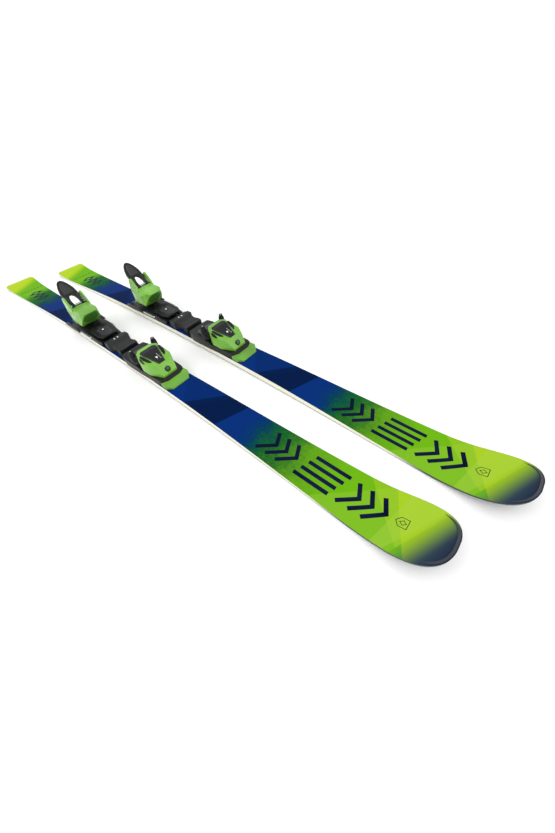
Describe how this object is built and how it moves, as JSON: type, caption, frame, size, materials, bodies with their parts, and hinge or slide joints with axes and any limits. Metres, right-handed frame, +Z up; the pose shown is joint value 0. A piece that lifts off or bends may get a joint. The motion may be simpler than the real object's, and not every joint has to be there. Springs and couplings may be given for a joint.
{
  "type": "alpine skis with bindings",
  "caption": "Pair of shaped alpine skis with raised tips, laminated bodies and rail bindings: toe wings, sliding sole rest, step-in heel with lever, and folding brake arms.",
  "frame": {"origin": "centre of the pair's footprint, on the floor the skis lie on", "axes": "+X toward the ski tips, +Y toward the left ski, +Z up from the floor"},
  "size_m": [1.774, 0.297, 0.1539],
  "materials": {
    "base_black": "satin",
    "edge_steel": "satin",
    "core_wood": "natural",
    "sidewall_cream": "satin",
    "topsheet": "gloss",
    "tail_cap": "satin",
    "rail_black": "satin",
    "screw_steel": "satin",
    "band_black": "satin",
    "trim_green": "satin",
    "binding_black": "satin",
    "glide_grey": "smooth",
    "toe_green": "semi-gloss",
    "insert_black": "satin",
    "mark_white": "satin",
    "pin_steel": "satin",
    "spring_steel": "satin",
    "screw_dark": "satin",
    "heel_green": "semi-gloss",
    "lever_black": "satin",
    "wire_bright": "polished",
    "pedal_grey": "fine grain"
  },
  "bodies": {
    "left_ski": {"left_running_base": "base_black", "left_steel_edges": "edge_steel", "left_wood_core": "core_wood", "left_sidewalls": "sidewall_cream", "left_topsheet": "topsheet", "left_tail_protector": "tail_cap", "left_rail_plate": "rail_black", "left_plate_screws": "screw_steel", "left_centre_band": "band_black", "left_front_trim": "trim_green"},
    "left_toe_carriage": {"left_toe_base": "binding_black", "left_toe_housing": "toe_green", "left_toe_insert": "insert_black", "left_toe_pins": "pin_steel", "left_toe_spring": "spring_steel"},
    "left_glide_plate": {"left_afd_plate": "glide_grey"},
    "left_toe_mark": {"left_toe_indicator": "mark_white"},
    "left_toe_adjuster": {"left_toe_screw": "screw_dark"},
    "left_wing_left": {"left_toe_wing_left": "binding_black"},
    "left_wing_right": {"left_toe_wing_right": "binding_black"},
    "left_heel_carriage": {"left_heel_base": "binding_black", "left_heel_axle": "pin_steel"},
    "left_heel_cup": {"left_heel_housing": "heel_green", "left_lever_axle": "pin_steel", "left_heel_spring": "spring_steel"},
    "left_lever": {"left_heel_lever": "lever_black"},
    "left_heel_adjuster": {"left_heel_screw": "screw_dark"},
    "left_brake": {"left_brake_wire": "wire_bright", "left_brake_tips": "binding_black"},
    "left_pedal": {"left_brake_pedal": "pedal_grey"},
    "right_ski": {"right_running_base": "base_black", "right_steel_edges": "edge_steel", "right_wood_core": "core_wood", "right_sidewalls": "sidewall_cream", "right_topsheet": "topsheet", "right_tail_protector": "tail_cap", "right_rail_plate": "rail_black", "right_plate_screws": "screw_steel", "right_centre_band": "band_black", "right_front_trim": "trim_green"},
    "right_toe_carriage": {"right_toe_base": "binding_black", "right_toe_housing": "toe_green", "right_toe_insert": "insert_black", "right_toe_pins": "pin_steel", "right_toe_spring": "spring_steel"},
    "right_glide_plate": {"right_afd_plate": "glide_grey"},
    "right_toe_mark": {"right_toe_indicator": "mark_white"},
    "right_toe_adjuster": {"right_toe_screw": "screw_dark"},
    "right_wing_left": {"right_toe_wing_left": "binding_black"},
    "right_wing_right": {"right_toe_wing_right": "binding_black"},
    "right_heel_carriage": {"right_heel_base": "binding_black", "right_heel_axle": "pin_steel"},
    "right_heel_cup": {"right_heel_housing": "heel_green", "right_lever_axle": "pin_steel", "right_heel_spring": "spring_steel"},
    "right_lever": {"right_heel_lever": "lever_black"},
    "right_heel_adjuster": {"right_heel_screw": "screw_dark"},
    "right_brake": {"right_brake_wire": "wire_bright", "right_brake_tips": "binding_black"},
    "right_pedal": {"right_brake_pedal": "pedal_grey"}
  },
  "joints": [
    {"name": "left_toe_slide", "type": "slide", "parent": "left_ski", "child": "left_toe_carriage", "axis": [1, 0, 0], "range_m": [-0.012, 0]},
    {"name": "left_heel_slide", "type": "slide", "parent": "left_ski", "child": "left_heel_carriage", "axis": [1, 0, 0], "range_m": [-0.028, 0.012]},
    {"name": "left_wing_left_open", "type": "hinge", "parent": "left_toe_carriage", "child": "left_wing_left", "pos_m": [0.1, 0.1115, 0.056], "axis": [0, 0, -1], "range_deg": [0, 25], "stiffness_Nm_per_rad": 2, "springref_deg": -8.59},
    {"name": "left_wing_right_open", "type": "hinge", "parent": "left_toe_carriage", "child": "left_wing_right", "pos_m": [0.1, 0.0675, 0.056], "axis": [0, 0, 1], "range_deg": [0, 25], "stiffness_Nm_per_rad": 2, "springref_deg": -8.59},
    {"name": "left_glide_slide", "type": "slide", "parent": "left_toe_carriage", "child": "left_glide_plate", "axis": [0, 1, 0], "range_m": [-0.005, 0.005], "stiffness_N_per_m": 400},
    {"name": "left_toe_screw_turn", "type": "hinge", "parent": "left_toe_carriage", "child": "left_toe_adjuster", "pos_m": [0.147, 0.0895, 0.0489], "axis": [1, 0, 0], "range_deg": [-1440, 1440]},
    {"name": "left_toe_mark_slide", "type": "slide", "parent": "left_toe_carriage", "child": "left_toe_mark", "axis": [0.9567, 0, -0.2912], "range_m": [-0.0045, 0.0045]},
    {"name": "left_heel_open", "type": "hinge", "parent": "left_heel_carriage", "child": "left_heel_cup", "pos_m": [-0.241, 0.0895, 0.044], "axis": [0, -1, 0], "range_deg": [0, 28]},
    {"name": "left_lever_press", "type": "hinge", "parent": "left_heel_cup", "child": "left_lever", "pos_m": [-0.227, 0.0895, 0.1], "axis": [0, -1, 0], "range_deg": [0, 20]},
    {"name": "left_heel_screw_turn", "type": "hinge", "parent": "left_heel_cup", "child": "left_heel_adjuster", "pos_m": [-0.253, 0.0895, 0.07], "axis": [1, 0, 0], "range_deg": [-1440, 1440]},
    {"name": "left_brake_swing", "type": "hinge", "parent": "left_heel_carriage", "child": "left_brake", "pos_m": [-0.153, 0.0895, 0.032], "axis": [0, -1, 0], "range_deg": [0, 65]},
    {"name": "left_pedal_tilt", "type": "hinge", "parent": "left_brake", "child": "left_pedal", "pos_m": [-0.131, 0.0895, 0.032], "axis": [0, -1, 0], "range_deg": [-56, 0]},
    {"name": "right_toe_slide", "type": "slide", "parent": "right_ski", "child": "right_toe_carriage", "axis": [1, 0, 0], "range_m": [-0.012, 0]},
    {"name": "right_heel_slide", "type": "slide", "parent": "right_ski", "child": "right_heel_carriage", "axis": [1, 0, 0], "range_m": [-0.028, 0.012]},
    {"name": "right_wing_left_open", "type": "hinge", "parent": "right_toe_carriage", "child": "right_wing_left", "pos_m": [0.026, -0.0675, 0.056], "axis": [0, 0, -1], "range_deg": [0, 25], "stiffness_Nm_per_rad": 2, "springref_deg": -8.59},
    {"name": "right_wing_right_open", "type": "hinge", "parent": "right_toe_carriage", "child": "right_wing_right", "pos_m": [0.026, -0.1115, 0.056], "axis": [0, 0, 1], "range_deg": [0, 25], "stiffness_Nm_per_rad": 2, "springref_deg": -8.59},
    {"name": "right_glide_slide", "type": "slide", "parent": "right_toe_carriage", "child": "right_glide_plate", "axis": [0, 1, 0], "range_m": [-0.005, 0.005], "stiffness_N_per_m": 400},
    {"name": "right_toe_screw_turn", "type": "hinge", "parent": "right_toe_carriage", "child": "right_toe_adjuster", "pos_m": [0.073, -0.0895, 0.0489], "axis": [1, 0, 0], "range_deg": [-1440, 1440]},
    {"name": "right_toe_mark_slide", "type": "slide", "parent": "right_toe_carriage", "child": "right_toe_mark", "axis": [0.9567, 0, -0.2912], "range_m": [-0.0045, 0.0045]},
    {"name": "right_heel_open", "type": "hinge", "parent": "right_heel_carriage", "child": "right_heel_cup", "pos_m": [-0.315, -0.0895, 0.044], "axis": [0, -1, 0], "range_deg": [0, 28]},
    {"name": "right_lever_press", "type": "hinge", "parent": "right_heel_cup", "child": "right_lever", "pos_m": [-0.301, -0.0895, 0.1], "axis": [0, -1, 0], "range_deg": [0, 20]},
    {"name": "right_heel_screw_turn", "type": "hinge", "parent": "right_heel_cup", "child": "right_heel_adjuster", "pos_m": [-0.327, -0.0895, 0.07], "axis": [1, 0, 0], "range_deg": [-1440, 1440]},
    {"name": "right_brake_swing", "type": "hinge", "parent": "right_heel_carriage", "child": "right_brake", "pos_m": [-0.227, -0.0895, 0.032], "axis": [0, -1, 0], "range_deg": [0, 65]},
    {"name": "right_pedal_tilt", "type": "hinge", "parent": "right_brake", "child": "right_pedal", "pos_m": [-0.205, -0.0895, 0.032], "axis": [0, -1, 0], "range_deg": [-56, 0]},
    {"name": "left_ski_lift", "type": "slide", "parent": "right_ski", "child": "left_ski", "axis": [0, 0, 1], "range_m": [0, 0.3]}
  ],
  "couplings": [
    {"joint": "left_toe_mark_slide", "follows": "left_toe_screw_turn", "m_per_rad": 0.00015915},
    {"joint": "left_lever_press", "follows": "left_heel_open", "ratio": 0.7},
    {"joint": "left_pedal_tilt", "follows": "left_brake_swing", "ratio": -0.85},
    {"joint": "right_toe_mark_slide", "follows": "right_toe_screw_turn", "m_per_rad": 0.00015915},
    {"joint": "right_lever_press", "follows": "right_heel_open", "ratio": 0.7},
    {"joint": "right_pedal_tilt", "follows": "right_brake_swing", "ratio": -0.85}
  ]
}
